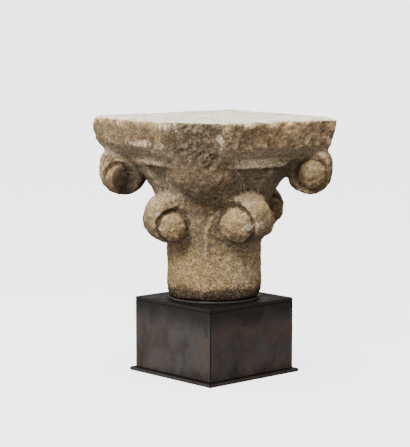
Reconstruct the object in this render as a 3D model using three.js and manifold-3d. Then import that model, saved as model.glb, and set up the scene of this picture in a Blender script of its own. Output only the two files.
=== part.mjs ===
// A carved limestone capital with volutes on two levels, standing on a patinated steel plinth.
// Millimetres, +Z up. The origin is on the ground under the middle of the abacus.
// Each side of the abacus faces along X or Y, and the corner towards -X -Y is broken off.

import * as THREE from "three";
import { mergeVertices } from "three/addons/utils/BufferGeometryUtils.js";
import Module from "manifold-3d";

const wasm = await Module();
wasm.setup();

// Plinth: a welded box on a wider base plate, and the round seat that the stone stands on
const plateSide = 220;
const plateThickness = 6;
const boxSide = 204;
const boxHeight = 131;
const edgeBevel = 1;
const seatRadius = 84;
const seatThickness = 4;
const plinthTurn = THREE.MathUtils.degToRad(7.4);
const restGap = 0.3;

// Capital: overall sizes
const capitalHeight = 326;
const abacusSide = 324;
const slabHeight = 47;
const chamferHeight = 23;
const chamferKnee = { drop: 15, half: 146 };
const lipHeight = 14;
const lipReach = 138;
const neckRadius = 85;
const footRadius = 80;
const wornEdge = 4;

// Corner volutes, one under each corner of the abacus: the shape that they share, then what differs
const cornerRoll = { halfWidth: 26, edge: 11, swell: 0.22, inset: 8 };
const farCorner = { quarter: 0, radius: 41, reach: 171, height: 225, eye: 27, out: 5, down: 5 };
const leftCorner = { quarter: 1, radius: 42, reach: 168, height: 222, eye: 27, out: 3, down: 11 };
const rightCorner = { quarter: 3, radius: 40, reach: 174, height: 228, eye: 28, out: 8, down: 2 };

// Face volutes, one low on the middle of each side
const faceRoll = { halfWidth: 27, edge: 12, swell: 0, inset: 5 };
const rightFace = { quarter: 0, radius: 41, reach: 103, height: 157, eye: 27, out: 5, down: 6 };
const backFace = { quarter: 1, radius: 44, reach: 101, height: 151, eye: 28, out: 5, down: 8 };
const leftFace = { quarter: 2, radius: 44, reach: 100, height: 149, eye: 27, out: 3, down: 13 };
const frontFace = { quarter: 3, radius: 45, reach: 101, height: 151, eye: 31, out: 4, down: 7 };

// Socket cut round each eye
const socketMargin = 7;
const socketDepth = 5;
const swellAngle = THREE.MathUtils.degToRad(50);

// Leaves: how far each one stands proud, how soft its edge is, and the fine ridges of the neck
const lowLeafRise = 3;
const highLeafRise = 6;
const edgeEase = 0.035;
const ridgeRise = 2;
const keelRise = 1.5;

// The break at the near corner: its height and depth, its slant and unevenness, and the worn stump
const breakFoot = 150;
const breakReach = { foot: 130, low: 143, waist: 149, lip: 141, slab: 163, top: 169 };
const breakKnee = { low: 195, waist: 226 };
const breakWidth = 260;
const breakBulge = { rise: 12, half: 55 };
const breakSlant = 0.085;
const breakRoughness = 3.5;
const stump = { reach: 102, height: 235, deep: 54, wide: 58, tall: 50 };

// Wear on the lower half of the right corner: how far it rises, and how far it runs along each side
const cornerWear = { rise: 38, front: 19, side: 28 };

// Resolution of the solids
const rollSides = 22;
const eyeSides = 14;
const eyeRings = 8;
const breakSteps = 10;
const quarterTurn = Math.PI / 2;
const eighthTurn = Math.PI / 4;
const nearQuarter = 2;

// Heights inside the capital, from its foot
const slabBottom = capitalHeight - slabHeight;
const lipTop = slabBottom - chamferHeight;
const lipBottom = lipTop - lipHeight;
const abacusHalf = abacusSide / 2;
const cornerHeight = farCorner.height;
const faceHeight = backFace.height;

// Straight-line reading of a table of [height, value] pairs that is eased at its points
function curve(points) {
  const path = new THREE.SplineCurve(points.map(([z, value]) => new THREE.Vector2(z, value)));
  const samples = path.getPoints(points.length * 12);
  return (z) => {
    if (z <= samples[0].x) return samples[0].y;
    for (let i = 1; i < samples.length; i++) {
      const a = samples[i - 1];
      const b = samples[i];
      if (z <= b.x) return a.y + ((b.y - a.y) * (z - a.x)) / Math.max(b.x - a.x, 1e-6);
    }
    return samples[samples.length - 1].y;
  };
}

// Radius of the stone along the diagonals, where the high leaves run up to the corner volutes
const cornerLine = curve([
  [0, footRadius - 4],
  [8, neckRadius - 4],
  [28, neckRadius - 2],
  [60, neckRadius - lowLeafRise],
  [100, neckRadius - lowLeafRise],
  [faceHeight - 15, neckRadius + 7],
  [faceHeight + 28, neckRadius + 21],
  [cornerHeight - 11, neckRadius + 41],
  [lipBottom, 158],
  [lipTop, 190],
]);

// Distance of the high leaves from the axis, measured square to a side
const leafLine = curve([
  [0, footRadius - 4],
  [8, neckRadius - 4],
  [28, neckRadius - 2],
  [60, neckRadius - lowLeafRise],
  [100, neckRadius - lowLeafRise],
  [faceHeight - 15, neckRadius],
  [faceHeight + 28, neckRadius + 12],
  [cornerHeight - 11, neckRadius + 27],
  [lipBottom, lipReach - 12],
  [lipTop, lipReach - 6],
]);

// Distance of the bare bell between two high leaves, with the rounded lip on top of it
const bellLine = curve([
  [faceHeight + 28, neckRadius + 7],
  [faceHeight + 50, neckRadius + 14],
  [lipBottom - 18, lipReach - 29],
  [lipBottom - 2, lipReach - 20],
]);

function lipLine(z) {
  const share = (z - lipBottom) / lipHeight;
  if (share < 0.3) return lipReach - 14 * (1 - share / 0.3) ** 2;
  return lipReach - 9 * ((share - 0.3) / 0.7) ** 1.3;
}

// Half angle of the low leaf below the face volute, and of the bare bell above it
const lowLeafAngle = curve([
  [0, 45],
  [faceHeight - 40, 45],
  [faceHeight - 18, 43],
  [faceHeight, 38],
  [faceHeight + 11, 28],
  [faceHeight + 25, 12],
]);
const bellAngle = curve([
  [faceHeight + 30, 9],
  [lipBottom - 18, 12.5],
  [lipBottom, 18],
  [lipBottom + 8, 23],
  [lipTop, 29],
]);

// The same beside the near leaf, which is wider than the others
const nearBellAngle = curve([
  [faceHeight + 30, 5],
  [faceHeight + 51, 5.5],
  [lipBottom - 27, 8],
  [lipBottom - 15, 13],
  [lipBottom - 4, 18],
  [lipBottom + 6, 22],
  [lipTop, 25],
]);

function edgeAngle(z, near) {
  if (z < faceHeight + 28) return THREE.MathUtils.degToRad(lowLeafAngle(z));
  return THREE.MathUtils.degToRad(near ? nearBellAngle(z) : bellAngle(z));
}

// Radius at an angle from the middle of a side, for a plan that runs from round to square
function planRadius(angle, faceDistance, diagonalRadius) {
  const share = Math.min(Math.log2(diagonalRadius / faceDistance), 0.494);
  const power = 1 / (0.5 - share);
  const c = Math.abs(Math.cos(angle)) ** power;
  const s = Math.abs(Math.sin(angle)) ** power;
  return faceDistance / (c + s) ** (1 / power);
}

// Radius of the neck, bell and leaves at a height, at an angle from the middle of a side
function carvedRadius(angle, z, near) {
  const leaf = planRadius(angle, leafLine(z), cornerLine(z));
  const inside = THREE.MathUtils.clamp((edgeAngle(z, near) - angle) / (2 * edgeEase) + 0.5, 0, 1);
  if (z >= lipBottom - 1) {
    return THREE.MathUtils.lerp(leaf, Math.min(lipLine(z) * (1 + 0.05 * angle), leaf + 6), inside);
  }
  if (z >= faceHeight + 28) {
    const bell = planRadius(angle, bellLine(z), bellLine(z) * 1.12);
    return THREE.MathUtils.lerp(leaf, Math.min(bell, leaf - highLeafRise), inside);
  }
  const ridge = ridgeRise * Math.exp(-(((eighthTurn - angle) / 0.05) ** 2)) * (z < 135 ? 1 : 0);
  const keel = keelRise * Math.exp(-((angle / 0.3) ** 2));
  return leaf + lowLeafRise * inside + ridge + keel;
}

// A closed lathe whose rings are pushed out to the plan of the stone at each height
function bodyGeometry() {
  const rings = [0, 3, 9, 28, 60, 100];
  for (let z = 118; z < lipBottom - 14; z += 16) rings.push(z);
  rings.push(lipBottom - 10, lipBottom - 4, lipBottom - 1.2);
  for (const share of [0.02, 0.15, 0.3, 0.7, 1]) rings.push(lipBottom + lipHeight * share);
  const square = [
    [slabBottom - chamferKnee.drop, chamferKnee.half],
    [slabBottom, abacusHalf],
    [capitalHeight - wornEdge, abacusHalf],
    [capitalHeight, abacusHalf - wornEdge],
  ];

  const columns = [];
  for (const share of [0, 0.45, 0.85, 1]) columns.push((edge) => (edge - edgeEase) * share);
  columns.push((edge) => edge + edgeEase);
  for (const share of [0.3, 0.65, 1]) {
    columns.push((edge) => edge + edgeEase + (eighthTurn - edge - edgeEase) * share);
  }
  const perEighth = columns.length - 1;
  const sides = perEighth * 8;

  const profile = [new THREE.Vector2(0, rings[0])];
  for (const z of rings) profile.push(new THREE.Vector2(1, z));
  for (const [z] of square) profile.push(new THREE.Vector2(1, z));
  profile.push(new THREE.Vector2(0, capitalHeight));

  const geometry = new THREE.LatheGeometry(profile, sides);
  const position = geometry.attributes.position;
  for (let side = 0; side <= sides; side++) {
    const eighth = Math.floor(side / perEighth) % 8;
    const step = side % perEighth;
    const mirrored = eighth % 2 === 1;
    const middle = Math.floor((eighth + 1) / 2) * quarterTurn;
    const near = eighth === 2 * nearQuarter || eighth === 2 * nearQuarter + 1;
    for (let ring = 0; ring < profile.length; ring++) {
      const z = profile[ring].y;
      const edge = THREE.MathUtils.clamp(edgeAngle(Math.min(z, lipTop), near), 0.085, 0.66);
      const angle = columns[mirrored ? perEighth - step : step](edge);
      let radius = 0;
      if (profile[ring].x > 0) {
        const flat = square.find(([height]) => height === z);
        radius = flat ? planRadius(angle, flat[1], flat[1] * 1.406) : carvedRadius(angle, z, near);
      }
      const around = middle + (mirrored ? -angle : angle);
      position.setXYZ(side * profile.length + ring, radius * Math.cos(around), radius * Math.sin(around), z);
    }
  }
  return geometry;
}

// A closed solid from a three.js geometry
function solid(geometry) {
  const bare = geometry.clone();
  bare.deleteAttribute("normal");
  bare.deleteAttribute("uv");
  const merged = mergeVertices(bare, 1e-3);
  const corners = merged.index.array;
  const triVerts = [];
  for (let i = 0; i < corners.length; i += 3) {
    const [a, b, c] = corners.slice(i, i + 3);
    if (a !== b && b !== c && c !== a) triVerts.push(a, b, c);
  }
  const vertProperties = new Float32Array(merged.attributes.position.array);
  const build = (order) => {
    const mesh = new wasm.Mesh({ numProp: 3, vertProperties, triVerts: Uint32Array.from(order) });
    return new wasm.Manifold(mesh);
  };
  const made = build(triVerts);
  if (made.volume() > 0) return made;
  const flipped = [];
  for (let i = 0; i < triVerts.length; i += 3) flipped.push(triVerts[i], triVerts[i + 2], triVerts[i + 1]);
  return build(flipped);
}

// A roll with rounded edges, lying along X about the origin, that can swell where it leaves the slab
function rollGeometry(radius, { halfWidth, edge, swell }) {
  const profile = [new THREE.Vector2(0, -halfWidth)];
  for (const side of [-1, 1]) {
    for (const share of side < 0 ? [0, 0.5, 1] : [1, 0.5, 0]) {
      const turn = share * quarterTurn;
      const across = radius - edge + edge * Math.sin(turn);
      profile.push(new THREE.Vector2(across, side * (halfWidth - edge + edge * Math.cos(turn))));
    }
    if (side < 0) profile.push(new THREE.Vector2(radius + 1.5, 0));
  }
  profile.push(new THREE.Vector2(0, halfWidth));
  const roll = new THREE.LatheGeometry(profile, rollSides).rotateZ(quarterTurn);
  const position = roll.attributes.position;
  for (let i = 0; i < position.count; i++) {
    const around = Math.atan2(position.getZ(i), -position.getY(i));
    const size = 1 + swell * Math.exp(-(((around - swellAngle) / 0.5) ** 2));
    position.setXYZ(i, position.getX(i), position.getY(i) * size, position.getZ(i) * size);
  }
  return roll;
}

// The dish cut in one end of a roll, opening towards +X
function socketGeometry(eye, halfWidth) {
  const mouth = eye + socketMargin;
  const profile = [
    [0, halfWidth - socketDepth],
    [mouth - 5, halfWidth - socketDepth],
    [mouth + 1, halfWidth + 1],
    [0, halfWidth + 1],
  ].map(([across, along]) => new THREE.Vector2(across, along));
  return new THREE.LatheGeometry(profile, rollSides).rotateZ(-quarterTurn);
}

// Places a geometry made about the origin at a reach and height, out along an angle
function placed(geometry, angle, reach, height) {
  return geometry.translate(0, -reach, height).rotateZ(angle + quarterTurn);
}

// One volute: the roll, the dishes in both of its ends, and the eyes that sit in them
function volute(shape, { quarter, radius, reach, height, eye, out, down }, turn) {
  const angle = quarter * quarterTurn + turn;
  const body = solid(placed(rollGeometry(radius, shape), angle, reach, height));
  const cuts = [];
  const eyes = [];
  for (const side of [-1, 1]) {
    const dish = socketGeometry(eye, shape.halfWidth).rotateZ(side > 0 ? 0 : Math.PI);
    cuts.push(solid(placed(dish, angle, reach + out, height - down)));
    const ball = new THREE.SphereGeometry(eye, eyeSides, eyeRings).rotateZ(quarterTurn);
    ball.translate(side * (shape.halfWidth - shape.inset), 0, 0);
    eyes.push(solid(placed(ball, angle, reach + out, height - down)));
  }
  return { body, cuts, eyes };
}

// Repeatable unevenness from -1 to 1
function uneven(a, b) {
  const slow = Math.sin(a * 0.6 - b * 1.3 + 2) + Math.sin(a * 1.7 + b * 0.9);
  return (slow + Math.sin(a * 2.9 + b * 2.3 + 1)) / 3;
}

// Distance of the broken face from the axis at each height
const breakLine = curve([
  [breakFoot, breakReach.foot],
  [breakKnee.low, breakReach.low],
  [breakKnee.waist, breakReach.waist],
  [lipTop, breakReach.lip],
  [slabBottom, breakReach.slab],
  [capitalHeight, breakReach.top],
]);

// The block that takes the near corner away, with an uneven inner face
function breakGeometry() {
  const tall = capitalHeight + 10 - breakFoot;
  const block = new THREE.BoxGeometry(breakWidth, 1, tall, breakSteps, 1, breakSteps);
  const position = block.attributes.position;
  for (let i = 0; i < position.count; i++) {
    const across = position.getX(i);
    const height = position.getZ(i) + breakFoot + tall / 2;
    const rough = breakRoughness * THREE.MathUtils.smoothstep(height, lipBottom, slabBottom);
    const below = 1 - THREE.MathUtils.smoothstep(height, lipTop, slabBottom);
    const bulge = breakBulge.rise * Math.max(1 - (across / breakBulge.half) ** 2, 0) * below;
    const flat = breakLine(height) + breakSlant * across;
    const broken = flat + bulge + rough * uneven(across / 14, height / 14);
    position.setXYZ(i, across, position.getY(i) < 0 ? -broken : -abacusSide, height);
  }
  return block.rotateZ(-eighthTurn);
}

// The wedge that wear has taken from the right corner of the slab
function wornWedge() {
  const grow = (cornerWear.rise + chamferKnee.drop) / cornerWear.rise;
  const foot = slabBottom - chamferKnee.drop;
  const front = new THREE.Vector3(abacusHalf - cornerWear.front * grow, -abacusHalf, foot);
  const side = new THREE.Vector3(abacusHalf, -abacusHalf + cornerWear.side * grow, foot);
  const points = [
    new THREE.Vector3(abacusHalf, -abacusHalf, slabBottom + cornerWear.rise),
    front.clone().lerp(side, -0.5),
    front.clone().lerp(side, 1.3),
    new THREE.Vector3(abacusHalf + cornerWear.side, -abacusHalf - cornerWear.side, foot),
  ];
  return wasm.Manifold.hull(points.map((point) => point.toArray()));
}

function capitalSolid() {
  let stone = solid(bodyGeometry());
  stone = stone.subtract(wornWedge());
  const volutes = [
    ...[rightFace, backFace, leftFace, frontFace].map((one) => volute(faceRoll, one, 0)),
    ...[farCorner, leftCorner, rightCorner].map((one) => volute(cornerRoll, one, eighthTurn)),
  ];
  for (const { body } of volutes) stone = stone.add(body);
  for (const { cuts } of volutes) for (const cut of cuts) stone = stone.subtract(cut);
  for (const { eyes } of volutes) for (const eye of eyes) stone = stone.add(eye);
  const root = new THREE.SphereGeometry(1, eyeSides, eyeRings).scale(stump.wide, stump.deep, stump.tall);
  stone = stone.add(solid(placed(root, nearQuarter * quarterTurn + eighthTurn, stump.reach, stump.height)));
  return stone.subtract(solid(breakGeometry()));
}

// Back from a solid to a geometry
function geometryOf(made) {
  const { vertProperties, triVerts } = made.getMesh();
  const geometry = new THREE.BufferGeometry();
  geometry.setAttribute("position", new THREE.BufferAttribute(vertProperties, 3));
  geometry.setIndex(new THREE.BufferAttribute(triVerts, 1));
  geometry.computeVertexNormals();
  return geometry;
}

// A square block with softened edges, standing on z = 0
function blockGeometry(side, height) {
  const half = side / 2 - edgeBevel;
  const outline = new THREE.Shape();
  outline.moveTo(-half, -half);
  outline.lineTo(half, -half);
  outline.lineTo(half, half);
  outline.lineTo(-half, half);
  outline.closePath();
  const block = new THREE.ExtrudeGeometry(outline, {
    depth: height - 2 * edgeBevel,
    bevelThickness: edgeBevel,
    bevelSize: edgeBevel,
    bevelSegments: 1,
  });
  return block.translate(0, 0, edgeBevel);
}

function seatGeometry() {
  const profile = [
    [0, 0],
    [seatRadius, 0],
    [seatRadius, seatThickness - 0.8],
    [seatRadius - 0.8, seatThickness],
    [0, seatThickness],
  ].map(([x, y]) => new THREE.Vector2(x, y));
  return new THREE.LatheGeometry(profile, 48).rotateX(quarterTurn);
}

const limestone = new THREE.MeshStandardMaterial({ color: 0xa8906f, roughness: 0.95, metalness: 0 });
const patinatedSteel = new THREE.MeshStandardMaterial({ color: 0x2d2825, roughness: 0.45, metalness: 0.7 });

function piece(name, geometry, material, height) {
  const mesh = new THREE.Mesh(geometry, material);
  mesh.name = name;
  mesh.position.z = height;
  return mesh;
}

const boxFoot = plateThickness + restGap;
const seatFoot = boxFoot + boxHeight + restGap;
const capitalFoot = seatFoot + seatThickness + restGap;

const plinth = new THREE.Group();
plinth.add(piece("base_plate", blockGeometry(plateSide, plateThickness), patinatedSteel, 0));
plinth.add(piece("plinth_box", blockGeometry(boxSide, boxHeight), patinatedSteel, boxFoot));
plinth.add(piece("seat_disc", seatGeometry(), patinatedSteel, seatFoot));
plinth.rotation.z = plinthTurn;

const model = new THREE.Group();
model.add(plinth);
model.add(piece("stone_capital", geometryOf(capitalSolid()), limestone, capitalFoot));

export default model;
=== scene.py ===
import math

import bmesh
import bpy
import numpy as np
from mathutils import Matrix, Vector


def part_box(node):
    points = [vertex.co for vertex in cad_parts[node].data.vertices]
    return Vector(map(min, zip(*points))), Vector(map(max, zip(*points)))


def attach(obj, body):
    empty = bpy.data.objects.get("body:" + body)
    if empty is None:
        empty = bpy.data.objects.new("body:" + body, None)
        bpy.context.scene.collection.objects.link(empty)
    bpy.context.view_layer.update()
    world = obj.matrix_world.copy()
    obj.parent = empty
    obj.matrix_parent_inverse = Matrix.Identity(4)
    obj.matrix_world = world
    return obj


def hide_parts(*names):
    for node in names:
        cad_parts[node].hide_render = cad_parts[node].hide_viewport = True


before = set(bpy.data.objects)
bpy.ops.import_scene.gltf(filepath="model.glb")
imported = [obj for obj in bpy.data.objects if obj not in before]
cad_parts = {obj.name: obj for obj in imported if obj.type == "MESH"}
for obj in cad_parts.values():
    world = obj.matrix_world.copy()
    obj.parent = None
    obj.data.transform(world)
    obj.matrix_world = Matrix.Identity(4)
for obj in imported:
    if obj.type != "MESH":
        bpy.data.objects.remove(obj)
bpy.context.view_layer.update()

MM = 0.001

# The capital stands on the seat disc: its foot and its top, in millimetres above the floor
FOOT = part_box("stone_capital")[0].z / MM
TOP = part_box("stone_capital")[1].z / MM

# Half the side of the abacus, the lower edge of its slab, and how far the plinth is turned from it
ABACUS = 162.0
SLAB_BOTTOM = TOP - 47.0
PLINTH_TURN = math.radians(7.4)

# Volutes: angle of the middle line, reach, height above the foot, eye radius, how far the eye
# sits out and down from the roll's middle, its distance along the roll, and the roll's half length
VOLUTES = [
    (0, 103, 157, 27, 5, 6, 22, 27),
    (90, 101, 151, 28, 5, 8, 22, 27),
    (180, 100, 149, 27, 3, 13, 22, 27),
    (270, 101, 151, 31, 4, 7, 22, 27),
    (45, 171, 225, 27, 5, 5, 18, 26),
    (135, 168, 222, 27, 3, 11, 18, 26),
    (315, 174, 228, 28, 8, 2, 18, 26),
]

# The root of the lost volute: its height above the foot, its half width, and the height of its
# join with the break above
ROOT_HEIGHT = 228
ROOT_WIDTH = 54
JOIN_HEIGHT = 251

# The size of the squares that the stone's skin is rebuilt from, in metres
SKIN_SQUARE = 0.00255


# ---------- camera ----------

camera = bpy.data.objects.new("camera", bpy.data.cameras.new("camera"))
bpy.context.scene.collection.objects.link(camera)
camera.location = (-1.8272, -2.5932, 0.66125)
camera.rotation_euler = Vector((0.56747, 0.81435, -0.12170)).to_track_quat("-Z", "Y").to_euler()
camera.data.sensor_fit = "VERTICAL"
camera.data.sensor_height = 36
camera.data.lens = 141.3
camera.data.clip_end = 50
bpy.context.scene.camera = camera


# ---------- repeatable noise on points, in millimetres ----------

LATTICE = 32


def noise(points, size, seed):
    """Smooth noise from -1 to 1 with features of a given size."""
    table = np.random.default_rng(seed).uniform(-1, 1, (LATTICE,) * 3)
    p = points / size + 1000.37
    cell = np.floor(p).astype(int)
    t = p - cell
    t = t * t * t * (t * (t * 6 - 15) + 10)
    total = np.zeros(len(p))
    for dx in (0, 1):
        for dy in (0, 1):
            for dz in (0, 1):
                weight = (
                    (t[:, 0] if dx else 1 - t[:, 0])
                    * (t[:, 1] if dy else 1 - t[:, 1])
                    * (t[:, 2] if dz else 1 - t[:, 2])
                )
                x, y, z = ((cell + (dx, dy, dz)) % LATTICE).T
                total += weight * table[x, y, z]
    return total


def rough(points, size, seed, octaves=3):
    """Noise in several sizes, each finer and weaker than the one before."""
    total = np.zeros(len(points))
    for i in range(octaves):
        total += noise(points, size / 2.1**i, seed + i) / 1.9**i
    return total


def bell(x, width):
    """1 at zero, falling softly to nothing at about twice the width."""
    return np.exp(-((x / width) ** 2))


def ramp(x, low, high):
    """0 below low, 1 above high, and a smooth step between."""
    t = np.clip((x - low) / (high - low), 0, 1)
    return t * t * (3 - 2 * t)


def distance_to(centre, points):
    return np.linalg.norm(points - centre, axis=1)


# ---------- the stone ----------

class Skin:
    """A mesh as arrays: points in millimetres, and the links that smoothing needs."""

    def __init__(self, mesh):
        self.mesh = mesh
        count = len(mesh.vertices)
        self.co = np.zeros(count * 3)
        mesh.vertices.foreach_get("co", self.co)
        self.co = self.co.reshape(-1, 3) / MM
        edges = np.zeros(len(mesh.edges) * 2, int)
        mesh.edges.foreach_get("vertices", edges)
        self.edges = edges.reshape(-1, 2)
        self.degree = np.bincount(edges, minlength=count).clip(1)[:, None]

    def around(self, values):
        """The mean of each point's neighbours."""
        a, b = self.edges.T
        total = np.zeros_like(values)
        for k in range(values.shape[1]):
            total[:, k] = np.bincount(a, values[b, k], len(values))
            total[:, k] += np.bincount(b, values[a, k], len(values))
        return total / self.degree

    def smooth(self, rounds, share=0.5, where=None):
        for _ in range(rounds):
            step = (self.around(self.co) - self.co) * share
            self.co += step if where is None else step * where[:, None]

    def blur(self, values, rounds):
        values = values[:, None]
        for _ in range(rounds):
            values = 0.4 * values + 0.6 * self.around(values)
        return values[:, 0]

    def write(self):
        self.mesh.vertices.foreach_set("co", (self.co * MM).ravel())
        self.mesh.update()

    def normals(self):
        self.write()
        n = np.zeros(len(self.co) * 3, np.float32)
        self.mesh.vertex_normals.foreach_get("vector", n)
        return n.reshape(-1, 3).astype(float)

    def push(self, amount):
        self.co += self.normals() * amount[:, None]


def remeshed(source, name, voxel):
    """A copy of a node, welded and rebuilt as an even skin of small squares."""
    mesh = source.data.copy()
    bm = bmesh.new()
    bm.from_mesh(mesh)
    bmesh.ops.remove_doubles(bm, verts=bm.verts, dist=1e-6)
    bm.to_mesh(mesh)
    bm.free()
    rough_copy = bpy.data.objects.new(name + "_source", mesh)
    bpy.context.scene.collection.objects.link(rough_copy)
    modifier = rough_copy.modifiers.new("even", "REMESH")
    modifier.mode = "VOXEL"
    modifier.voxel_size = voxel
    graph = bpy.context.evaluated_depsgraph_get()
    result = bpy.data.meshes.new_from_object(rough_copy.evaluated_get(graph))
    bpy.data.objects.remove(rough_copy)
    result.materials.clear()
    obj = bpy.data.objects.new(name, result)
    bpy.context.scene.collection.objects.link(obj)
    return obj


stone = remeshed(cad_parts["stone_capital"], "weathered_stone", SKIN_SQUARE)
skin = Skin(stone.data)
skin.smooth(5)


def local(points):
    """How far out towards the near corner, how far across that line, and height above the foot."""
    across = (points[:, 0] - points[:, 1]) / math.sqrt(2)
    out = -(points[:, 0] + points[:, 1]) / math.sqrt(2)
    return out, across, points[:, 2] - FOOT


def wear_slab():
    """Round the slab's top edges and, more strongly towards their foot, its upright corners."""
    p = skin.co
    slab = p[:, 2] > SLAB_BOTTOM - 40
    top_wear = (3.6 + 2.4 * noise(p, 40, 11) + 2 * noise(p, 12, 12)).clip(1.2, 9)
    top_wear += 6 * bell(np.hypot(p[:, 0] + ABACUS, p[:, 1] - ABACUS), 26)
    side = np.abs(p[:, :2]).max(1)
    corner_wear = (5 + 2.5 * noise(p, 30, 13) + 4 * ramp(TOP - p[:, 2], 16, 60)).clip(2, 12)
    # upright corners, in plan
    q = np.abs(p[:, :2]) - (ABACUS - corner_wear[:, None])
    outside = np.maximum(q, 0)
    length = np.linalg.norm(outside, axis=1)
    over = length - corner_wear
    move = slab & (over > 0) & (q.min(1) > 0)
    step = outside / np.maximum(length, 1e-6)[:, None] * over[:, None] * np.sign(p[:, :2])
    p[:, :2] -= np.where(move[:, None], step, 0)
    # top edges, in section
    side_depth = side - (ABACUS - top_wear)
    top_depth = p[:, 2] - (TOP - top_wear)
    length = np.hypot(np.maximum(side_depth, 0), np.maximum(top_depth, 0))
    over = length - top_wear
    move = slab & (over > 0) & (side_depth > 0) & (top_depth > 0)
    out = np.where(move, over * side_depth / np.maximum(length, 1e-6), 0)
    down = np.where(move, over * top_depth / np.maximum(length, 1e-6), 0)
    leading = np.abs(p[:, 0]) > np.abs(p[:, 1])
    p[:, 0] -= np.where(leading, out * np.sign(p[:, 0]), 0)
    p[:, 1] -= np.where(leading, 0, out * np.sign(p[:, 1]))
    p[:, 2] -= down


wear_slab()

# The left and right ends of the slab are worn rounder still
left_corner = bell(distance_to((-ABACUS, ABACUS, SLAB_BOTTOM - 2), skin.co), 34)
right_corner = bell(distance_to((ABACUS, -ABACUS, SLAB_BOTTOM + 10), skin.co), 34)
skin.smooth(14, 0.5, np.maximum(left_corner, 0.6 * right_corner))
skin.smooth(1)

# The root of the lost volute runs into the break above it without a waist
out, across, height = local(skin.co)
root = np.maximum(bell(height - JOIN_HEIGHT, 17), 0.9 * bell(height - ROOT_HEIGHT, 30))
root *= bell(across, ROOT_WIDTH)
skin.smooth(44, 0.5, root * (out > 100))

# Where the break is, and where the root of the lost volute is, each from 0 to 1
out, across, height = local(skin.co)
n = skin.normals()
facing = -(n[:, 0] + n[:, 1]) / math.sqrt(2)
broken = ramp(facing, 0.66, 0.86) * ramp(height, 232, 252) * bell(across, 80) * (out > 118)
broken = skin.blur(broken, 3)
stump = bell(height - ROOT_HEIGHT, 36) * bell(across, ROOT_WIDTH) * (out > 122)
stump = skin.blur(stump, 3)

# Eyes: a groove round each one and a fine ridge outside it
groove = np.zeros(len(skin.co))
ridge = np.zeros(len(skin.co))
eye_top = np.zeros(len(skin.co))
for turn, reach, high, eye, eye_out, eye_down, along, half in VOLUTES:
    a = math.radians(turn)
    outward = np.array([math.cos(a), math.sin(a), 0])
    side = np.array([-math.sin(a), math.cos(a), 0])
    d = skin.co - outward * (reach + eye_out) - np.array([0, 0, FOOT + high - eye_down])
    s = np.abs(d @ side)
    u = d @ outward
    v = d[:, 2]
    ring = np.hypot(u, v)
    near = ramp(s, half - 12, half - 4) * (s < half + 30) * (ring < eye + 14)
    groove += near * bell(ring - eye + 1.0, 2.6) * (0.65 + 0.35 * np.clip(v / eye, -1, 1))
    ridge += near * bell(ring - eye - 7.5, 2.2)
    ball = np.sqrt(u**2 + v**2 + (s - along) ** 2)
    eye_top += bell(ball - eye, 3) * ramp(s, half - 6, half)
skin.push(-1.9 * np.clip(groove, 0, 1) + 0.9 * np.clip(ridge, 0, 1))
skin.smooth(1, 0.4)


def stand_clear(centre, radius, axis, deep):
    """Lay the front of a ball on a fresh sphere, and give the depth of the groove round it."""
    axis = np.array(axis) / np.linalg.norm(axis)
    d = skin.co - centre
    t = d @ axis
    away = np.sqrt(np.maximum((d**2).sum(1) - t**2, 0))
    front = t > -0.1 * radius
    share = np.where(front, 1 - ramp(away, 0.9 * radius, 1.02 * radius), 0)
    step = np.clip(np.sqrt(np.maximum(radius**2 - away**2, 0)) - t, -20, 20)
    skin.co += axis * (step * share)[:, None]
    return np.where(front, bell(away - radius * 1.03, 2.4), 0) * deep


# The two rolls beside the near leaf are fuller towards it, over their balls
towards_leaf = np.array([-0.62, -0.72, 0.3])
for centre, lift in [((-95, -29, FOOT + 174), 12), ((-30, -97, FOOT + 176), 10)]:
    skin.co += towards_leaf * (lift * bell(distance_to(centre, skin.co), 15))[:, None]

# Each ball stands clear of its roll, with a groove round it
furrow = np.zeros(len(skin.co))
for centre, radius, axis, deep in [
    ((-108, -26, FOOT + 135), 27, (-0.65, -0.75, 0), 2.6),
    ((-26, -110, FOOT + 141), 32, (-0.72, -0.69, 0), 2.2),
]:
    furrow = np.maximum(furrow, stand_clear(centre, radius, axis, deep))
skin.smooth(2, 0.5, np.clip(furrow, 0, 1))
skin.push(-furrow)

# Ridge up the middle of the near leaf, as azimuth at a height
azimuth = np.degrees(np.arctan2(skin.co[:, 1], skin.co[:, 0]))
radial = np.hypot(skin.co[:, 0], skin.co[:, 1])
height = skin.co[:, 2] - FOOT


def from_line(line):
    """Distance round the axis from a line that is given as azimuth."""
    return (azimuth - line) * radial * math.pi / 180


line = np.interp(height, [79, 112, 133, 151, 162, 172], [-135, -135, -133, -128, -122, -114])
near_ridge = bell(from_line(line), 2.6) * ramp(height, 70, 95) * (1 - ramp(height, 166, 178))
skin.push(1.2 * near_ridge)

# Fine raised lines along both edges of the near leaf, as azimuth at a height
leaf_ridge = np.zeros(len(skin.co))
for levels, turns in [
    ((196, 216, 230, 242), (-178.5, -176.5, -171.5, -164)),
    ((196, 204, 215, 227, 238, 247), (-92.5, -93.5, -96.5, -101.5, -108, -114)),
]:
    line = np.interp(height, levels, turns)
    first, last = levels[0], levels[-1]
    along = ramp(height, first - 6, first + 2) * (1 - ramp(height, last - 2, last + 4))
    leaf_ridge = np.maximum(leaf_ridge, bell(from_line(line), 2.2) * along)
skin.push(1.5 * leaf_ridge)

# The lip under the right side is fuller than the others
off_middle = np.abs(azimuth + 90)
fuller = bell(height - 246, 5) * (1 - ramp(off_middle, 24, 32)) * ramp(radial, 118, 126)
skin.push(3.2 * fuller)

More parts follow.
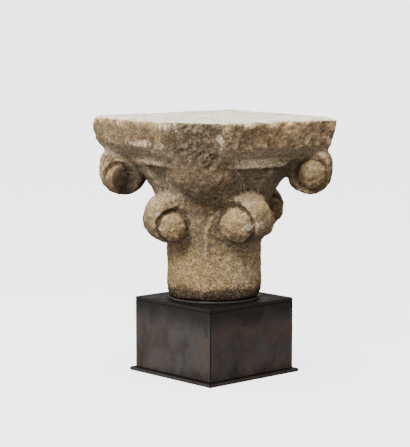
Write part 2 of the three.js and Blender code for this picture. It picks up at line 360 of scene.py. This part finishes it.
# The ball under the left corner has lost its front, which left a flat dark face
cut_at = np.array([-160, 98, FOOT + 211.0])
cut_to = np.array([0.22, -0.975, 0.0])
cut_to /= np.linalg.norm(cut_to)
ball = distance_to((-133.6, 108.2, FOOT + 211), skin.co)
beyond = (skin.co - cut_at) @ cut_to
flat = (ball < 33) & (beyond > 0)
skin.co -= np.where(flat, beyond * 0.85, 0)[:, None] * cut_to

# Dark patina, and painted shade on the rolls' inner sides, under the balls and on the far right volute:
# place, size and strength, and the edge of the patch on the flat face
patina_and_shade = np.zeros(len(skin.co))
for centre, size, share in [
    ((-116, -45, FOOT + 138), 30, 0.2), ((-112, -30, FOOT + 116), 22, 0.45),
    ((-30, -118, FOOT + 112), 24, 0.5), ((-142, 98, FOOT + 208), 22, 1.0),
    ((74, -140, FOOT + 222), 36, 0.9), ((112, -158, FOOT + 222), 46, 0.35),
    ((104, -30, FOOT + 152), 40, 0.8), ((-150, 118, FOOT + 190), 26, 0.5),
    ((120, -150, FOOT + 188), 26, 0.5),
]:
    patina_and_shade = np.maximum(patina_and_shade, share * bell(distance_to(centre, skin.co), size))
distance = distance_to((-124, 94, FOOT + 206), skin.co) + 4 * noise(skin.co, 14, 39)
patina_and_shade = np.maximum(patina_and_shade, 0.95 * (1 - ramp(distance, 24, 38)))

# Fracture: steps and hollows that run down across it from right to left
p = skin.co
out, across, height = local(p)
layered = np.stack([across * 0.8 + height * 0.6, (height * 0.8 - across * 0.6) * 2.2, out], 1)
steps = rough(layered, 30, 21, 3)
creases = 1 - 2 * np.abs(rough(layered, 19, 24, 3))
skin.push(broken * (3.4 * steps + 1.3 * creases) + stump * (1 - broken) * 1.3 * rough(p, 22, 26, 2))

# Chips knocked off the edges, first at random and then where the photo shows them: place, radius
# and depth
rng = np.random.default_rng(5)
bites = []
for _ in range(46):
    side = rng.integers(4)
    where = rng.uniform(-150, 150)
    level = TOP if rng.random() < 0.6 else SLAB_BOTTOM + rng.uniform(-2, 4)
    x, y = [(where, -ABACUS), (-ABACUS, where), (where, ABACUS), (ABACUS, where)][side]
    bites.append((x, y, level, rng.uniform(4, 12), rng.uniform(1.2, 3.6)))
bites += [
    (-162, 160, SLAB_BOTTOM + 2, 14, 4), (-162, 160, TOP, 10, 3), (148, -162, TOP - 16, 26, 3.5),
    (118, -162, TOP - 8, 20, 2.5), (132, -162, TOP - 34, 16, 2),
]
n = skin.normals()
ragged = 1 + 0.25 * noise(skin.co, 7, 31)
dent = np.zeros(len(p))
for x, y, z, size, depth in bites:
    distance = distance_to((x, y, z), skin.co) * ragged
    dent = np.maximum(dent, depth * ramp(size * 1.5 - distance, 0, size))
skin.co -= n * dent[:, None]

# Weathering all over: slow unevenness, grain and pits, and a rough crust round the foot
p = skin.co
pits = ramp(noise(p, 6.5, 41) + 0.5 * noise(p, 13, 42), 0.45, 0.95)
grain = 1.0 * rough(p, 42, 43, 2) + 1.0 * rough(p, 14, 45, 2) + 0.8 * noise(p, 6.4, 47)
foot_crust = 1 - ramp(p[:, 2] - FOOT + 5 * noise(p, 18, 48) + 3 * noise(p, 7, 50), 2, 36)
under = 1 - ramp(p[:, 2] - FOOT, 0.5, 4)
skin.push((grain - 0.9 * pits + foot_crust * 1.1 * rough(p, 9, 49, 2)) * (1 - under))
low, high = (np.array(v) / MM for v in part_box("stone_capital"))
skin.co = np.clip(skin.co, low, high)


# What the material reads, stored on the points. First fine hollows and proud edges
skin.write()
level = skin.around(skin.co)
for _ in range(5):
    level = skin.around(level)
n = skin.normals()
curve = np.einsum("ij,ij->i", skin.co - level, n)
curve = skin.blur(curve, 1)
n = np.stack([skin.blur(n[:, k], 3) for k in range(3)], 1)

# Wider hollows: how far the surface lies inside its own much smoother shape, for painted shade in hollows
# and a painted highlight on proud forms
far = skin.co
for _ in range(70):
    far = skin.around(far)
wide = skin.blur(np.einsum("ij,ij->i", skin.co - far, n), 2)


def store(name, values):
    attribute = stone.data.attributes.new(name, "FLOAT", "POINT")
    attribute.data.foreach_set("value", np.asarray(values, np.float32))


p = skin.co
out, across, height = local(p)
chips_and_rim_highlight = np.zeros(len(p))
for centre, size in [
    ((-162, 28, SLAB_BOTTOM + 3), 5), ((-162, 20, SLAB_BOTTOM + 2), 8), ((-162, 10, SLAB_BOTTOM + 2), 10),
    ((-162, 0, SLAB_BOTTOM + 3), 10), ((-162, -9, SLAB_BOTTOM + 4), 10), ((-162, -18, SLAB_BOTTOM + 6), 10),
    ((-162, -28, SLAB_BOTTOM + 7), 9), ((-158, -66, SLAB_BOTTOM + 4), 6),
    ((-161, -68, TOP - 9), 8), ((-154, -78, TOP - 8), 10), ((-146, -88, TOP - 10), 9),
    ((-93, -147, TOP - 27), 7), ((-89, -150, TOP - 36), 8), ((-91, -147, TOP - 46), 7),
    ((-84, -142, TOP - 60), 6),
    ((-34, -140, FOOT + 138), 8), ((-27, -142, FOOT + 139), 9), ((-19, -142, FOOT + 142), 9),
    ((-9, -147, FOOT + 143), 8), ((-1, -148, FOOT + 146), 7),
    ((-134, -24, FOOT + 132), 6), ((-139, -22, FOOT + 161), 5), ((-114, -46, FOOT + 135), 6),
    ((94, -156, FOOT + 218), 3), ((103, -162, FOOT + 214), 3), ((117, -167, FOOT + 236), 4),
    ((120, -165, FOOT + 213), 3), ((116, -145, FOOT + 254), 4), ((108, -165, FOOT + 226), 4),
]:
    chips_and_rim_highlight = np.maximum(chips_and_rim_highlight, 1 - ramp(distance_to(centre, p), size * 0.3, size * 1.5))
# A painted highlight along the top rim, joined to the chips
top_rim_highlight = 0.62 * ramp(n[:, 2], 0.2, 0.6) * (1 - ramp(n[:, 2], 0.9, 0.98))
chips_and_rim_highlight = np.maximum(chips_and_rim_highlight, top_rim_highlight * bell(p[:, 2] - TOP, 8))
store("curve", np.clip(curve / 1.6, -1, 1))
store("broken", np.clip(broken, 0, 1))
store("stump", np.clip(stump * (1 - ramp(height, 252, 266)), 0, 1))
store("foot_crust", foot_crust)
store("wide", np.clip(wide / 9, -1, 1))
store("patina_and_shade", patina_and_shade)
whole = 1 - np.clip(broken + 0.7 * stump, 0, 1)
# The lip below the slab, for a painted highlight, full on the right face and half as strong elsewhere
off_middle = np.abs((azimuth + 45) % 90 - 45)
limit = np.where(azimuth < -90, np.where(np.abs(azimuth + 135) < 45, 21, 28), 28)
lip = ramp(height, 239, 244) * (1 - ramp(height, 254, 260))
lip *= (1 - ramp(off_middle - limit, -3, 4)) * (radial < 160)
lip *= whole
lip *= np.where(np.abs(azimuth + 90) < 45, 1, 0.5)
store("lip", skin.blur(lip, 2))
# The cove under the slab, where the material paints light
cove = ramp(height, 250, 258) * (1 - ramp(height, 274, 281)) * whole * (radial > 120)
store("cove", skin.blur(cove, 2))
throat = ramp(height, 178, 190) * (1 - ramp(height, 234, 244)) * (1 - ramp(radial, 128, 142))
throat *= (1 - np.clip(stump, 0, 1)) * (1 - np.clip(eye_top, 0, 1))
store("throat", skin.blur(throat, 3))
store("neck", 1 - ramp(height + 6 * noise(p, 30, 61), 62, 96))
# A bleached place on the neck, and a painted highlight on top of the left face's volute
bleach_and_highlight = bell(distance_to((4, -88, FOOT + 42), p), 42)
store("bleach_and_highlight", np.maximum(bleach_and_highlight, bell(distance_to((-128, 6, FOOT + 182), p), 30)))
store("ridges", np.clip(leaf_ridge + 0.7 * near_ridge, 0, 1))
store("chips_and_rim_highlight", chips_and_rim_highlight)
store("eyes", np.clip(eye_top, 0, 1))
store("bed", ramp(n[:, 2], 0.55, 0.9) * ramp(p[:, 2], TOP - 9, TOP - 3))
# Facing shares: painted light on up-facing places and painted shade on undersides
store("down", ramp(-n[:, 2], -0.05, 0.7) * (1 - 0.92 * ramp(height, 232, 248)))
store("up", ramp(n[:, 2], 0.1, 0.8))
for polygon in stone.data.polygons:
    polygon.use_smooth = True

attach(stone, "root")
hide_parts("stone_capital")


# ---------- materials ----------

class Nodes:
    """A material's nodes. Sizes are in millimetres."""

    def __init__(self, name):
        self.material = bpy.data.materials.new(name)
        self.material.use_nodes = True
        self.tree = self.material.node_tree
        self.shader = self.tree.nodes["Principled BSDF"]
        self.place = self.tree.nodes.new("ShaderNodeTexCoord").outputs["Object"]

    def link(self, a, b):
        self.tree.links.new(a, b)

    def put(self, socket, value):
        if isinstance(value, bpy.types.NodeSocket):
            self.link(value, socket)
        else:
            socket.default_value = value

    def noise(self, size, detail=4.0, roughness=0.55, distortion=0.0, stretch=None):
        node = self.tree.nodes.new("ShaderNodeTexNoise")
        node.inputs["Scale"].default_value = 1 / (size * MM)
        node.inputs["Detail"].default_value = detail
        node.inputs["Roughness"].default_value = roughness
        node.inputs["Distortion"].default_value = distortion
        self.link(self.stretched(stretch), node.inputs["Vector"])
        return node.outputs["Fac"]

    def stretched(self, stretch):
        if stretch is None:
            return self.place
        node = self.tree.nodes.new("ShaderNodeMapping")
        node.inputs["Scale"].default_value = stretch
        self.link(self.place, node.inputs["Vector"])
        return node.outputs["Vector"]

    def attribute(self, name):
        node = self.tree.nodes.new("ShaderNodeAttribute")
        node.attribute_name = name
        return node.outputs["Fac"]

    def math(self, operation, a, b=0.0, clamp=False):
        node = self.tree.nodes.new("ShaderNodeMath")
        node.operation = operation
        node.use_clamp = clamp
        self.put(node.inputs[0], a)
        self.put(node.inputs[1], b)
        return node.outputs[0]

    def share(self, name, amount):
        """A stored attribute times a number or a socket."""
        return self.math("MULTIPLY", self.attribute(name), amount)

    def swing(self, value, amount):
        """A noise turned into a swing about zero."""
        return self.math("MULTIPLY", self.math("SUBTRACT", value, 0.5), amount)

    def between(self, value, low, high, to_low=0.0, to_high=1.0):
        node = self.tree.nodes.new("ShaderNodeMapRange")
        node.interpolation_type = "SMOOTHSTEP"
        self.put(node.inputs["Value"], value)
        node.inputs["From Min"].default_value = low
        node.inputs["From Max"].default_value = high
        node.inputs["To Min"].default_value = to_low
        node.inputs["To Max"].default_value = to_high
        return node.outputs["Result"]

    def mix(self, share, a, b, blend="MIX"):
        node = self.tree.nodes.new("ShaderNodeMix")
        node.data_type = "RGBA"
        node.blend_type = blend
        self.put(node.inputs["Factor"], share)
        self.put(node.inputs["A"], a if isinstance(a, bpy.types.NodeSocket) else (*a, 1))
        self.put(node.inputs["B"], b if isinstance(b, bpy.types.NodeSocket) else (*b, 1))
        return node.outputs["Result"]

    def bump(self, height, distance, strength=1.0, over=None):
        node = self.tree.nodes.new("ShaderNodeBump")
        node.inputs["Strength"].default_value = strength
        node.inputs["Distance"].default_value = distance * MM
        self.link(height, node.inputs["Height"])
        if over is not None:
            self.link(over, node.inputs["Normal"])
        return node.outputs["Normal"]


def limestone():
    m = Nodes("limestone")
    blotch = m.noise(70, 5, 0.6, 0.4)
    patch = m.noise(24, 6, 0.65, 0.3)
    speck = m.noise(5.0, 6, 0.75, stretch=(1, 1, 1.5))
    fine = m.noise(3.8, 5, 0.8, stretch=(1, 1, 1.4))
    curve = m.attribute("curve")
    colour = m.mix(m.between(blotch, 0.38, 0.64), (0.15, 0.098, 0.052), (0.35, 0.25, 0.145))
    colour = m.mix(m.between(patch, 0.42, 0.7, 0, 0.75), colour, (0.25, 0.19, 0.125))
    colour = m.mix(m.between(m.noise(34, 4, 0.6), 0.55, 0.72, 0, 0.5), colour, (0.42, 0.285, 0.15))
    # The neck is warmer, with ochre and a bleached place, and the top of the left face's volute gets a
    # painted highlight
    colour = m.mix(m.share("neck", 0.6), colour, (0.52, 0.37, 0.195))
    ochre = m.between(m.noise(26, 5, 0.65), 0.5, 0.68, 0, 0.75)
    colour = m.mix(m.share("neck", ochre), colour, (0.42, 0.25, 0.105))
    bleach_and_highlight_share = m.share("bleach_and_highlight", m.between(m.noise(12, 5, 0.7), 0.38, 0.6))
    colour = m.mix(m.math("MULTIPLY", bleach_and_highlight_share, 0.6), colour, (0.72, 0.62, 0.45))
    # Painted light and shade: up-facing and proud places are painted paler as if lit, hollows and
    # undersides browner as painted shade
    colour = m.mix(m.share("up", 0.8), colour, (0.78, 0.57, 0.32))
    colour = m.mix(m.share("down", 0.68), colour, (0.105, 0.083, 0.062))
    wide = m.attribute("wide")
    colour = m.mix(m.between(wide, 0.05, 0.6, 0, 0.32), colour, (0.48, 0.34, 0.19))
    colour = m.mix(m.between(wide, -0.05, -0.5, 0, 0.6), colour, (0.27, 0.235, 0.195))
    colour = m.mix(m.share("throat", 0.62), colour, (0.275, 0.222, 0.168))
    colour = m.mix(m.share("eyes", 0.6), colour, (0.37, 0.245, 0.12))
    # Painted highlight along the fine ridges of the leaves
    colour = m.mix(m.share("ridges", 0.8), colour, (0.62, 0.49, 0.33))
    # Fine proud edges painted paler as a painted highlight and fine hollows darker as painted shade, mixed
    # with the grain's own specks
    relief = m.math("ADD", curve, m.swing(speck, 0.9))
    proud = m.between(relief, 0.15, 0.7)
    colour = m.mix(m.math("MULTIPLY", proud, 0.7), colour, (0.68, 0.53, 0.34))
    hollow = m.between(relief, -0.12, -0.75)
    colour = m.mix(m.math("MULTIPLY", hollow, 0.85), colour, (0.075, 0.05, 0.03))
    # The break is a darker brown with ochre in it
    veins = m.between(m.noise(9, 6, 0.75, 0.6), 0.46, 0.68)
    torn = m.mix(veins, (0.09, 0.068, 0.048), (0.40, 0.31, 0.21))
    colour = m.mix(m.share("broken", 0.92), colour, torn)
    root = m.mix(m.between(patch, 0.35, 0.65), (0.105, 0.077, 0.05), (0.21, 0.152, 0.095))
    colour = m.mix(m.share("stump", 0.88), colour, root)
    # Painted light on the cove under the slab
    colour = m.mix(m.share("cove", 0.5), colour, (0.60, 0.49, 0.38))
    # Painted highlight on the lip
    colour = m.mix(m.share("lip", 0.85), colour, (1.0, 0.84, 0.62))
    colour = m.mix(1.0, colour, (1.0, 0.965, 0.865), "MULTIPLY")
    # Light and dark of the grain, fine and coarse
    grey = m.between(m.noise(4.0, 5, 0.78, stretch=(1, 1, 1.4)), 0.36, 0.64, 0.36, 1.68)
    coarse = m.between(m.noise(15, 6, 0.7, stretch=(1, 1, 1.8)), 0.36, 0.64, 0.72, 1.24)
    grey = m.math("MULTIPLY", grey, coarse)
    value = m.tree.nodes.new("ShaderNodeCombineColor")
    for channel in ("Red", "Green", "Blue"):
        m.link(grey, value.inputs[channel])
    colour = m.mix(0.85, colour, value.outputs[0], "MULTIPLY")
    # Pale chips, a painted highlight along the top rim, the pale bed and a dark crust round the foot
    crumbs = m.swing(m.noise(4.2, 6, 0.9), 4.6)
    pale = m.between(m.math("ADD", m.share("chips_and_rim_highlight", 0.72), crumbs), 0.62, 0.8)
    pale = m.math("MULTIPLY", pale, m.between(m.attribute("chips_and_rim_highlight"), 0.0, 0.2, 0.15, 1.0))
    colour = m.mix(pale, colour, (1.0, 0.82, 0.57))
    # The top bed is pale, partly its own paler colour and partly painted light
    bed = m.mix(m.between(patch, 0.36, 0.62), (0.86, 0.81, 0.72), (0.60, 0.53, 0.42))
    bed = m.mix(m.between(m.noise(7, 6, 0.75), 0.56, 0.7, 0, 0.5), bed, (0.50, 0.42, 0.31))
    colour = m.mix(m.share("bed", m.between(patch, 0.2, 0.6, 0.75, 1.0)), colour, bed)
    edge = m.math("ADD", m.attribute("foot_crust"), m.swing(speck, 3.4))
    crust = m.mix(m.between(speck, 0.42, 0.68), (0.016, 0.011, 0.007), (0.15, 0.10, 0.06))
    colour = m.mix(m.between(edge, 0.16, 0.5, 0, 0.94), colour, crust)
    # Salt and pepper of the grain
    worn = m.between(m.noise(16, 4, 0.6), 0.35, 0.65, 0.25, 1.0)
    pepper = m.math("MULTIPLY", worn, m.between(fine, 0.48, 0.33, 0, 0.8))
    colour = m.mix(pepper, colour, (0.09, 0.058, 0.033))
    salt = m.math("MULTIPLY", worn, m.between(fine, 0.54, 0.68, 0, 0.6))
    colour = m.mix(salt, colour, (0.70, 0.57, 0.38))
    # Dark patina and painted shade over all
    colour = m.mix(m.share("patina_and_shade", 0.86), colour, (0.032, 0.023, 0.015))
    m.link(colour, m.shader.inputs["Base Color"])
    m.shader.inputs["Roughness"].default_value = 0.92
    m.shader.inputs["Specular IOR Level"].default_value = 0.25
    normal = m.bump(m.noise(15, 7, 0.75, stretch=(1, 1, 1.4)), 5.0, 0.9)
    normal = m.bump(speck, 3.2, 0.9, normal)
    m.link(normal, m.shader.inputs["Normal"])
    return m.material


def patinated(name, tone=1.0, gloss=0.42, span=None, seam=None):
    """Dark steel with soft clouds: bluer towards -X, browner towards -Y, darkest on top.

    A span gives the heights of foot and top for the dark bands, and seam the height of a dark line."""
    m = Nodes(name)
    black = (0.01, 0.008, 0.007)

    def shade(r, g, b):
        return (r * tone, g * tone, b * tone)

    cloud = m.noise(52, 7, 0.66, 0.4, stretch=(1, 1, 0.7))
    streak = m.noise(24, 8, 0.7, 0.3, stretch=(1, 1, 0.6))
    speck = m.noise(3.5, 5, 0.75)
    facing = m.tree.nodes.new("ShaderNodeSeparateXYZ")
    m.link(m.tree.nodes.new("ShaderNodeNewGeometry").outputs["Normal"], facing.inputs[0])
    dark = shade(0.024, 0.017, 0.011)
    colour = m.mix(m.between(cloud, 0.38, 0.62), shade(0.08, 0.067, 0.06), shade(0.12, 0.105, 0.096))
    bluer = m.between(facing.outputs["X"], 0.2, -0.9, 0.35, 1.0)
    bluer = m.math("MULTIPLY", bluer, m.between(streak, 0.42, 0.66, 0, 0.75))
    colour = m.mix(bluer, colour, shade(0.115, 0.12, 0.124))
    browner = m.between(facing.outputs["Y"], 0.2, -0.9, 0.3, 1.0)
    warm = m.between(m.noise(30, 7, 0.7, 0.5), 0.46, 0.66, 0, 0.9)
    colour = m.mix(m.math("MULTIPLY", browner, warm), colour, shade(0.145, 0.088, 0.07))
    colour = m.mix(m.between(speck, 0.6, 0.78, 0, 0.3), colour, shade(0.2, 0.19, 0.18))
    colour = m.mix(m.between(speck, 0.42, 0.28, 0, 0.4), colour, dark)
    colour = m.mix(m.between(facing.outputs["Z"], 0.3, 0.9, 0, 0.88), colour, dark)
    if span is not None:
        low, high = span
        place = m.tree.nodes.new("ShaderNodeSeparateXYZ")
        m.link(m.place, place.inputs[0])
        z = place.outputs["Z"]
        uneven = m.math("ADD", z, m.swing(cloud, 0.11))
        band = m.between(uneven, (high - 48) * MM, (high - 8) * MM, 0, 0.82)
        colour = m.mix(band, colour, shade(0.022, 0.021, 0.020))
        colour = m.mix(m.between(uneven, (low + 24) * MM, (low - 6) * MM, 0, 0.5), colour, dark)
        colour = m.mix(m.between(z, (low + 2.6) * MM, (low + 0.6) * MM, 0, 0.85), colour, black)
        line = m.math("ABSOLUTE", m.math("SUBTRACT", z, seam * MM))
        colour = m.mix(m.between(line, 0.0014, 0.0004, 0, 0.85), colour, black)
    colour = m.mix(m.share("upright", 0.9), colour, black)
    m.link(colour, m.shader.inputs["Base Color"])
    m.shader.inputs["Metallic"].default_value = 0.3
    m.shader.inputs["Specular IOR Level"].default_value = 0.15
    wear = m.math("ADD", cloud, m.math("MULTIPLY", speck, 0.3))
    gloss_map = m.between(wear, 0.4, 0.85, gloss - 0.06, gloss + 0.2)
    m.link(gloss_map, m.shader.inputs["Roughness"])
    m.link(m.bump(m.noise(14, 5, 0.65), 0.35, 0.35, m.bump(speck, 0.12, 0.5)), m.shader.inputs["Normal"])
    return m.material


stone.data.materials.append(limestone())


# ---------- the plinth ----------

def turned(points):
    """Points in millimetres turned with the plinth, in metres."""
    c, s = math.cos(PLINTH_TURN), math.sin(PLINTH_TURN)
    return [((x * c - y * s) * MM, (x * s + y * c) * MM, z * MM) for x, y, z in points]


def metal_piece(bm, name, material, node):
    mesh = bpy.data.meshes.new(name)
    bm.to_mesh(mesh)
    bm.free()
    obj = bpy.data.objects.new(name, mesh)
    bpy.context.scene.collection.objects.link(obj)
    obj.data.materials.append(material)
    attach(obj, "root")
    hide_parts(node)
    return mesh


def block(name, half, levels, material, node):
    """A square block with rounded corners from a stack of (height, inset) outlines."""
    rings = []
    corner = 1.3
    beside = 1.2
    for z, inset in levels:
        ring = []
        for quarter in range(4):
            cx = (half - corner) * (1 if quarter in (0, 3) else -1)
            cy = (half - corner) * (1 if quarter in (0, 1) else -1)
            reach = corner - inset
            turns = [math.radians(quarter * 90 + step * 30) for step in range(4)]
            arc = [(cx + reach * math.cos(a), cy + reach * math.sin(a), z) for a in turns]
            (first_x, first_y, _), (last_x, last_y, _) = arc[0], arc[3]
            before = (first_x + beside * math.sin(turns[0]), first_y - beside * math.cos(turns[0]), z)
            after = (last_x - beside * math.sin(turns[3]), last_y + beside * math.cos(turns[3]), z)
            ring += [before, *arc, after]
        rings.append(turned(ring))
    bm = bmesh.new()
    loops = [[bm.verts.new(v) for v in ring] for ring in rings]
    count = len(loops[0])
    for low, high in zip(loops, loops[1:]):
        for i in range(count):
            bm.faces.new((low[i], low[(i + 1) % count], high[(i + 1) % count], high[i]))
    bm.faces.new(reversed(loops[0]))
    bm.faces.new(loops[-1])
    mesh = metal_piece(bm, name, material, node)
    # The material darkens the corners: the four points of each arc, between the two beside it
    upright = mesh.attributes.new("upright", "FLOAT", "POINT")
    on_arc = [1.0 if i % 6 in (1, 2, 3, 4) else 0.0 for i in range(count * len(rings))]
    upright.data.foreach_set("value", on_arc)


def node_levels(node):
    low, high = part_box(node)
    return low.z / MM, high.z / MM


low, high = node_levels("plinth_box")
seam = high - 6.4
block(
    "patinated_box", 102,
    [(low, 0.9), (low + 0.3, 0.3), (low + 0.9, 0), (seam - 0.7, 0), (seam - 0.35, 0.55),
     (seam + 0.35, 0.55), (seam + 0.7, 0), (high - 0.9, 0), (high - 0.3, 0.3), (high, 0.9)],
    patinated("box_steel", 0.68, span=(low, high), seam=seam), "plinth_box",
)
low, high = node_levels("base_plate")
block(
    "patinated_plate", 110,
    [(low, 0.8), (low + 0.25, 0.25), (low + 0.8, 0), (high - 0.8, 0), (high - 0.25, 0.25), (high, 0.8)],
    patinated("plate_steel", 0.5, 0.46), "base_plate",
)


def disc(name, radius, low, high, material, node):
    """A round plate with a small bevel under its rim and a larger one on top."""
    profile = [
        (0, low), (radius - 0.5, low), (radius, low + 0.5), (radius, high - 0.9),
        (radius - 0.3, high - 0.3), (radius - 0.9, high), (0, high),
    ]
    bm = bmesh.new()
    count = 160
    turns = [2 * math.pi * i / count for i in range(count)]
    rings = []
    for r, z in profile:
        places = [(r * math.cos(t) * MM, r * math.sin(t) * MM, z * MM) for t in turns]
        if r == 0:
            places = [(0, 0, z * MM)]
        rings.append([bm.verts.new(place) for place in places])
    for a, b in zip(rings, rings[1:]):
        for i in range(count):
            j = (i + 1) % count
            if len(a) == 1:
                bm.faces.new((a[0], b[j], b[i]))
            elif len(b) == 1:
                bm.faces.new((a[i], a[j], b[0]))
            else:
                bm.faces.new((a[i], a[j], b[j], b[i]))
    mesh = metal_piece(bm, name, material, node)
    for polygon in mesh.polygons:
        polygon.use_smooth = len(polygon.vertices) == 4


low, high = node_levels("seat_disc")
disc("seat_plate", 84, low, high, patinated("seat_steel", 0.7, 0.22), "seat_disc")


# ---------- studio ----------

def plain(name, colour, roughness, glow):
    material = bpy.data.materials.new(name)
    material.use_nodes = True
    shader = material.node_tree.nodes["Principled BSDF"]
    shader.inputs["Base Color"].default_value = (*colour, 1)
    shader.inputs["Roughness"].default_value = roughness
    shader.inputs["Specular IOR Level"].default_value = 0.1
    shader.inputs["Emission Color"].default_value = (1, 1, 1, 1)
    shader.inputs["Emission Strength"].default_value = glow
    return material


def backdrop():
    """A pale round floor that sweeps up into a wall all the way round, in metres."""
    floor, sweep, wall_top, below_plinth = 5.2, 1.5, 8, 0.0002
    bends = [math.radians(t) for t in range(0, 91, 6)]
    profile = [(0.001, 0), (2.5, 0)]
    profile += [(floor + sweep * math.sin(t), sweep - sweep * math.cos(t)) for t in bends]
    profile.append((floor + sweep, wall_top))
    around = 96
    verts = []
    for reach, z in profile:
        for step in range(around):
            turn = 2 * math.pi * step / around
            verts.append((reach * math.cos(turn), reach * math.sin(turn), z - below_plinth))
    faces = []
    for ring in range(len(profile) - 1):
        for step in range(around):
            a, b = ring * around + step, ring * around + (step + 1) % around
            faces.append((a, b, b + around, a + around))
    mesh = bpy.data.meshes.new("backdrop")
    mesh.from_pydata(verts, [], faces)
    for polygon in mesh.polygons:
        polygon.use_smooth = True
    obj = bpy.data.objects.new("backdrop", mesh)
    bpy.context.scene.collection.objects.link(obj)
    obj.data.materials.append(plain("pale_sheet", (0.34, 0.34, 0.34), 0.9, 3.08))
    obj.visible_diffuse = False
    obj.visible_glossy = False


backdrop()


def softbox(name, place, target, size, power):
    data = bpy.data.lights.new(name, "AREA")
    data.shape = "RECTANGLE"
    data.size, data.size_y = size
    data.energy = power
    obj = bpy.data.objects.new(name, data)
    bpy.context.scene.collection.objects.link(obj)
    obj.location = place
    obj.rotation_euler = (Vector(target) - Vector(place)).to_track_quat("-Z", "Y").to_euler()


softbox("overhead", (-0.1, 0.0, 2.0), (0, 0, 0.3), (0.8, 0.8), 48)
softbox("key", (-1.45, -0.75, 1.7), (0, 0, 0.3), (0.6, 0.6), 56)


def dome():
    """Soft light from all of the upper half, a little stronger from the left, and dim from below."""
    world = bpy.data.worlds.new("studio")
    bpy.context.scene.world = world
    world.use_nodes = True
    tree = world.node_tree
    place = tree.nodes.new("ShaderNodeTexCoord").outputs["Generated"]
    split = tree.nodes.new("ShaderNodeSeparateXYZ")
    tree.links.new(place, split.inputs[0])
    rise = tree.nodes.new("ShaderNodeMapRange")
    rise.interpolation_type = "SMOOTHSTEP"
    tree.links.new(split.outputs["Z"], rise.inputs["Value"])
    for name, value in (("From Min", 0.1), ("From Max", 0.75), ("To Min", 0.46), ("To Max", 1.2)):
        rise.inputs[name].default_value = value
    lean = tree.nodes.new("ShaderNodeVectorMath")
    lean.operation = "DOT_PRODUCT"
    tree.links.new(place, lean.inputs[0])
    lean.inputs[1].default_value = (-0.34, 0.02, 0)
    more = tree.nodes.new("ShaderNodeMath")
    more.operation = "ADD"
    tree.links.new(lean.outputs["Value"], more.inputs[0])
    more.inputs[1].default_value = 1
    power = tree.nodes.new("ShaderNodeMath")
    power.operation = "MULTIPLY"
    tree.links.new(rise.outputs["Result"], power.inputs[0])
    tree.links.new(more.outputs[0], power.inputs[1])
    background = tree.nodes["Background"]
    background.inputs["Color"].default_value = (1.0, 0.97, 0.93, 1)
    tree.links.new(power.outputs[0], background.inputs["Strength"])


dome()
